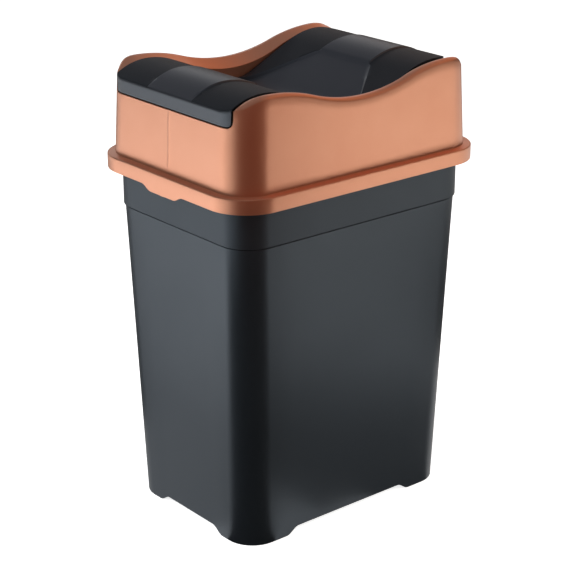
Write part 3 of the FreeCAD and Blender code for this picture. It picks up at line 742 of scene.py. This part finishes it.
# %% The feet of the wall's columns
fan_from, fan_to, fan_middle = floor_x.index(50), tip_index + tip_columns, tip_index - upright_steps
tip_place = place_at_x(mouth_x, ledge_level)
foot_places = []
for index, (foot, _) in enumerate(edge_line):
    if fan_from < index <= fan_middle:
        part = (index - fan_from) / (fan_middle - fan_from)
        foot = share(edge_line[fan_from][0], tip_place, part)
    elif fan_middle < index < fan_to:
        foot = share(tip_place, edge_line[fan_to][0], (index - fan_middle) / (fan_to - fan_middle))
    foot_places.append(foot)
print("fanned columns", fan_to - fan_from - 1)

# %% [markdown]
# From foot to top the wall's rows are the skirt with its rounded upper edge, the ledge, a small
# fillet and the leaning wall. A mould line runs down the middle of the front, as a fine ridge.

# %% The wall's grid
shoulder_round, foot_fillet, mould_line = 1.2 * MM, 0.5 * MM, 0.16 * MM
wall_rows = [(0, skirt_foot), (0, share(skirt_foot, ledge_level, 0.4))]
for turn in (0, 18, 36, 54, 72, 90):
    over, under = 1 - math.cos(math.radians(turn)), 1 - math.sin(math.radians(turn))
    wall_rows.append((shoulder_round * over, ledge_level - shoulder_round * under))
fillet = [(foot_fillet, 0.0), (0.3 * foot_fillet, 0.3 * foot_fillet), (0.0, foot_fillet)]
rise = [i / 10 for i in range(1, 11)]
row_count = len(wall_rows) + len(fillet) + len(rise)


def wall_point(column, row):
    """The place of one point of the frame's outside, below the rail."""
    foot, (spot, top) = foot_places[column], edge_line[column]
    if row < len(wall_rows):
        inset, z = wall_rows[row]
        ring = skirt_x - inset, skirt_y - inset, skirt_corner - inset
        return Vector((*ring_point(*ring, foot), z))
    row -= len(wall_rows)
    if row < len(fillet):
        out, up = fillet[row]
        ring = collar_x + out, collar_y + out, collar_corner + out
        return Vector((*ring_point(*ring, foot), ledge_level + up))
    part = rise[row - len(fillet)]
    point = collar_point(share(foot, spot, part), share(ledge_level + foot_fillet, top, part))
    if column == 0:
        point.y -= mould_line
    return point


bm = bmesh.new()
bmesh.ops.create_grid(bm, x_segments=len(edge_line) - 1, y_segments=row_count - 1, size=0.5)
for v in bm.verts:
    column, row = (v.co.x + 0.5) * (len(edge_line) - 1), (v.co.y + 0.5) * (row_count - 1)
    v.co = wall_point(round(column), round(row))
print("wall grid", len(bm.verts), "vertices")

# %% [markdown]
# The rail's grid starts on the wall's upper edge: a rounded edge, a level band, the sloping facet
# and the cheek. At the tip all of its rows meet in the edge of the notch, so there they lie on the
# upright part of that edge.

# %% The rail's points
round_rows = [math.radians(a) for a in (0, 22.5, 45, 67.5, 90)]
band_rows, facet_rows = [0.34, 0.67, 1.0], [0.25, 0.5, 0.75, 1.0]
cheek_levels = upright[-2::-1] + [notch_side] + [z * MM for z in (407, 400, 392, 384)]
cheek_levels.append(cheek_foot)
top_rows = len(band_rows) + len(facet_rows)
rail_rows = len(round_rows) + top_rows + len(cheek_levels)
rail_columns = [tip_y] + rail_y


def rail_point(column, row):
    """The place of one point of the rail's upper side or cheek."""
    y = rail_columns[column]
    outside, radius = rail_section(y)
    shoulder = outside - radius
    crown = max(min(crown_x, shoulder), mouth_x)
    if row < len(round_rows):
        turn = round_rows[row]
        z = rail_height(shoulder, y) - radius * (1 - math.sin(turn))
        x = shoulder + radius * math.cos(turn)
        if row == 0 and column:
            x = collar_point(place_at_y(y, z), z).x
        return Vector((x if column else mouth_x, -y, z if column else tip))
    row -= len(round_rows)
    if row < top_rows:
        if row < len(band_rows):
            x = share(shoulder, crown, band_rows[row])
        else:
            x = share(crown, mouth_x, facet_rows[row - len(band_rows)])
        return Vector((x if column else mouth_x, -y, rail_height(x, y) if column else tip))
    level = cheek_levels[row - top_rows]
    if column <= len(edge_steps):
        line = collar_point(place_at_x(mouth_x, max(level, notch_side)), level).y
        return Vector((mouth_x, line + (0, *edge_steps)[column] * MM, level))
    part = (level - cheek_foot) / (tip - cheek_foot)
    return Vector((mouth_x, -y, share(cheek_foot, rail_height(mouth_x, y), part)))


# %% The rail's grid, joined to the wall's
known = set(bm.verts)
bmesh.ops.create_grid(bm, x_segments=len(rail_columns) - 1, y_segments=rail_rows - 1, size=0.5)
for v in bm.verts:
    if v not in known:
        column, row = (v.co.x + 0.5) * (len(rail_columns) - 1), (v.co.y + 0.5) * (rail_rows - 1)
        v.co = rail_point(round(column), round(row))
sill = edge_steps[-1] * MM


def behind_sill(f):
    """Whether a face of the cheek lies where the notch's sill will be."""
    spot = f.calc_center_median()
    return abs(spot.x - mouth_x) < HAIR and spot.z < notch_side and spot.y < sill - tip_y


bmesh.ops.delete(bm, geom=[f for f in bm.faces if behind_sill(f)], context="FACES")
bmesh.ops.remove_doubles(bm, verts=bm.verts, dist=0.02 * MM)
bmesh.ops.dissolve_degenerate(bm, dist=WELD, edges=bm.edges)
print("quarter", len(bm.verts), "vertices")


# %% [markdown]
# The notch's floor and corner get a sill: their edge is extruded straight back to the wall's
# thickness, in the same steps as the cheek beside it, and meets it there.

# %% Sill of the notch
def on_notch(v):
    """Whether a point lies on the outer edge of the notch's floor or rounded corner."""
    on_wall = collar_point(place_at_x(min(v.co.x, mouth_x), v.co.z), v.co.z).y
    in_reach = notch_level - 0.05 * MM < v.co.z < notch_side + HAIR
    return v.co.x < mouth_x + HAIR and in_reach and abs(v.co.y - on_wall) < 0.06 * MM


leading = [e for e in bm.edges if e.is_boundary and all(on_notch(v) for v in e.verts)]
print("sill edges", len(leading))
for near, far in zip((0, *edge_steps), edge_steps):
    grown = bmesh.ops.extrude_edge_only(bm, edges=leading)["geom"]
    leading = [g for g in grown if isinstance(g, bmesh.types.BMEdge)]
    bmesh.ops.translate(bm, vec=(0, (far - near) * MM, 0), verts=points_of(grown))
bmesh.ops.remove_doubles(bm, verts=bm.verts, dist=0.05 * MM)
bmesh.ops.recalc_face_normals(bm, faces=bm.faces)

# %% [markdown]
# The quarter is mirrored to a half and the half to a whole. The pull tab is then drawn down from
# the skirt's front edge in an S at each end, and the sheet gets its thickness inwards. By the
# rail's tip the cheek and the wall are closer than that, so points of the inner skin that would
# come out through the wall are set behind it.

# %% Whole frame and pull tab
for axis in ("X", "Y"):
    bmesh.ops.mirror(bm, geom=bm.verts[:] + bm.edges[:] + bm.faces[:], matrix=Matrix.Identity(4),
                     merge_dist=HAIR, axis=axis)
bmesh.ops.recalc_face_normals(bm, faces=bm.faces)
ledge_faces = [f for f in bm.faces if abs(f.calc_center_median().z - ledge_level) < 0.05 * MM]
if sum(f.normal.z for f in ledge_faces) < 0:
    bmesh.ops.reverse_faces(bm, faces=bm.faces)
tab_half, tab_curve, tab_drop = 31 * MM, 14 * MM, 5 * MM
for v in bm.verts:
    if v.co.z < skirt_foot + 0.1 * MM and v.co.y < 0:
        part = limit((tab_half - abs(v.co.x)) / tab_curve)
        v.co.z -= tab_drop * (0.5 - 0.5 * math.cos(math.pi * part))

# %% The frame's thickness
lid_wall, tip_zone, tip_skin = 2.2 * MM, 5 * MM, 0.25 * MM
bmesh.ops.solidify(bm, geom=bm.faces[:], thickness=lid_wall)
for v in bm.verts:
    if v.co.z > notch_level - tip_zone and abs(v.co.x) > mouth_x + HAIR:
        outside = collar_point(place_at_y(abs(v.co.y), v.co.z), v.co.z).x
        if abs(v.co.x) > outside + HAIR:
            v.co.x = math.copysign(outside - tip_skin, v.co.x)
hand_over("lid_moulding", bm, "lid_frame", "lid", [copper_finish], 0.45 * MM)

# %% [markdown]
# ## Hinge pins
# Each pin is a headed rod that is pushed from the mouth through an ear of the flap into a boss of
# the frame. A turned shape is made as it would be on a lathe: half of its outline is spun once
# round the hinge line.

# %% Pins
shank, head_length, head_edge, tip_edge = 3 * MM, 2 * MM, 0.5 * MM, 0.6 * MM
for name, side in (("right", 1), ("left", -1)):
    low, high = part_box(f"hinge_pin_{name}")
    inner, outer = sorted((abs(low[0]), abs(high[0])))
    head = (high[2] - low[2]) / 2
    outline = [(inner, 0), (inner, head - head_edge), (inner + head_edge, head),
               (inner + head_length, head), (inner + head_length, shank),
               (outer - tip_edge, shank), (outer, shank - tip_edge), (outer, 0)]
    bm = bmesh.new()
    line = [bm.verts.new(pivot + Vector((side * x, 0, r))) for x, r in outline]
    edges = [bm.edges.new(pair) for pair in zip(line, line[1:])]
    bmesh.ops.spin(bm, geom=line + edges, cent=pivot, axis=(1, 0, 0), angle=math.tau, steps=40,
                   use_merge=True)
    bmesh.ops.remove_doubles(bm, verts=bm.verts, dist=WELD)
    bmesh.ops.recalc_face_normals(bm, faces=bm.faces)
    hand_over(f"pin_{name}", bm, f"hinge_pin_{name}", "lid", [pin_finish], 0)


# %% [markdown]
# ## Stage
# The can stands on white paper with a white background. Shiny plastic shows what stands around it,
# so the room matters as much as the finish. The background and the paper therefore have one
# strength for the camera, one for reflections and one for the light that they give.

# %% World and paper
def seen_as(tree, direct, mirrored):
    """A strength for what the camera sees, one for reflections, and none for other light."""
    rays = add_node(tree, "ShaderNodeLightPath").outputs
    eyes = calculate(tree, "MAXIMUM", {},
                     {0: rays["Is Camera Ray"], 1: rays["Is Transmission Ray"]})
    mirrors = calculate(tree, "MULTIPLY", {1: mirrored}, {0: rays["Is Glossy Ray"]})
    return calculate(tree, "MULTIPLY_ADD", {1: direct}, {0: eyes, 2: mirrors})


world = bpy.data.worlds.new("studio")
bpy.context.scene.world = world
world.use_nodes = True
tree = world.node_tree
tree.nodes.clear()
fill, white = (add_node(tree, "ShaderNodeBackground",
                        inputs={"Color": linear("#ffffff"), "Strength": strength}).outputs[0]
               for strength in (0.22, 1.0))
mixed = add_node(tree, "ShaderNodeMixShader", links={0: seen_as(tree, 1.0, 1.0), 1: fill, 2: white})
add_node(tree, "ShaderNodeOutputWorld", links={"Surface": mixed.outputs[0]})

paper = bpy.data.materials.new("white paper")
paper.use_nodes = True
tree = paper.node_tree
tree.nodes.clear()
matt = add_node(tree, "ShaderNodeBsdfDiffuse", inputs={"Color": linear("#f2f2f2")})
glow = add_node(tree, "ShaderNodeEmission", inputs={"Color": linear("#ffffff")},
                links={"Strength": seen_as(tree, 0.8, 0.4)})
both = add_node(tree, "ShaderNodeAddShader", links={0: matt.outputs[0], 1: glow.outputs[0]})
add_node(tree, "ShaderNodeOutputMaterial", links={"Surface": both.outputs[0]})


# %% Floor, card and lamp helpers
def stage_mesh(name, bm, finish):
    """A sheet of the stage, which is no part of the can."""
    mesh = bpy.data.meshes.new(name)
    bm.to_mesh(mesh)
    bm.free()
    mesh.materials.append(finish)
    sheet = bpy.data.objects.new(name, mesh)
    bpy.context.scene.collection.objects.link(sheet)
    return sheet


def card(name, colour, centre, outline, first, last):
    """A card that only reflections see: a line of reaches and heights, swept round a centre."""
    finish = bpy.data.materials.new(name)
    finish.use_nodes = True
    finish.node_tree.nodes.clear()
    shine = add_node(finish.node_tree, "ShaderNodeEmission", inputs={"Color": linear(colour)})
    add_node(finish.node_tree, "ShaderNodeOutputMaterial", links={"Surface": shine.outputs[0]})
    bm = bmesh.new()
    line = [bm.verts.new((centre[0], centre[1] - reach, z)) for reach, z in outline]
    edges = [bm.edges.new(pair) for pair in zip(line, line[1:])]
    bmesh.ops.rotate(bm, cent=(*centre, 0), matrix=Matrix.Rotation(math.radians(first), 3, "Z"),
                     verts=line)
    bmesh.ops.spin(bm, geom=line + edges, cent=(*centre, 0), axis=(0, 0, 1),
                   angle=math.radians(last - first), steps=24)
    sheet = stage_mesh(name, bm, finish)
    sheet.visible_camera = sheet.visible_diffuse = False
    sheet.visible_shadow = sheet.visible_transmission = False


def soft_box(name, colour, place, aim, width, height, power):
    """A broad lamp that points at a spot. Reflections don't see it."""
    lamp = bpy.data.lights.new(name, "AREA")
    lamp.shape = "RECTANGLE"
    lamp.color = linear(colour)[:3]
    lamp.size, lamp.size_y, lamp.energy = width, height, power
    holder = bpy.data.objects.new(name, lamp)
    holder.visible_glossy = False
    point_at(holder, place, aim)


# %% [markdown]
# Soft boxes give the light. Cards stand for the rest of the studio in the reflections: black and
# brown flags beside the near corner make its dark band, grey cards on the floor shade the walls
# from top to bottom, and a low card behind the can darkens its outlines a little. Farther off are
# the dark room, a grey ceiling and a warm card whose light lies on the far rail. A card is swept
# between two bearings in degrees, from the front over the right.

# %% Floor, cards and soft boxes
bm = bmesh.new()
bmesh.ops.create_grid(bm, x_segments=1, y_segments=1, size=6)
stage_mesh("floor", bm, paper)
near, right, middle = (0.07, -0.105), (0.05, 0), (0, 0)
card("black_floor_card", "#060606", near, [(0.01, 0.0006), (0.43, 0.0006)], -29, 122)
card("black_flag", "#060606", near, [(0.435, 0.0), (0.435, 0.165)], -29, 122)
card("brown_flag", "#603020", near, [(0.435, 0.165), (0.435, 0.6)], 15, 122)
card("left_grey_card", "#606060", near, [(0.3, 0.0004), (1.3, 0.0004)], -140, -63)
card("front_grey_card", "#d0d0d0", near, [(0.05, 0.0003), (0.34, 0.0003)], -100, -30)
card("right_grey_card", "#767676", right, [(0.06, 0.0004), (0.34, 0.0004)], 70, 160)
card("far_right_grey_card", "#484848", right, [(0.4, 0.0004), (1.05, 0.0004)], 135, 200)
card("low_rear_card", "#3c2c26", middle, [(1.2, 0.0005), (2.8, 0.0005), (2.8, 0.95)], 197, 272)
card("dark_room", "#2a2a2c", middle, [(2.9, 0.0), (2.9, 2.0)], -85, 195)
card("warm_rear_card", "#c89070", middle, [(2.7, 1.4), (1.8, 2.4)], 115, 225)
card("grey_ceiling", "#74747a", middle, [(2.9, 1.6), (1.9, 2.6), (0.05, 2.9)], 0, 360)
soft_box("left_soft_box", "#ffffff", (-0.8, -1.5, 1.0), (-0.4, -0.5, 0.1), 1.2, 1.4, 34)
soft_box("right_soft_box", "#fff4e6", (1.7, 1.3, 1.0), (1.2, 1.0, 0.0), 1.2, 1.4, 30)
soft_box("top_soft_box", "#ffffff", (-0.2, 0.5, 1.8), (0, 0, 0.3), 1.4, 1.4, 6)
print("stage", len(bpy.data.lights), "lamps")
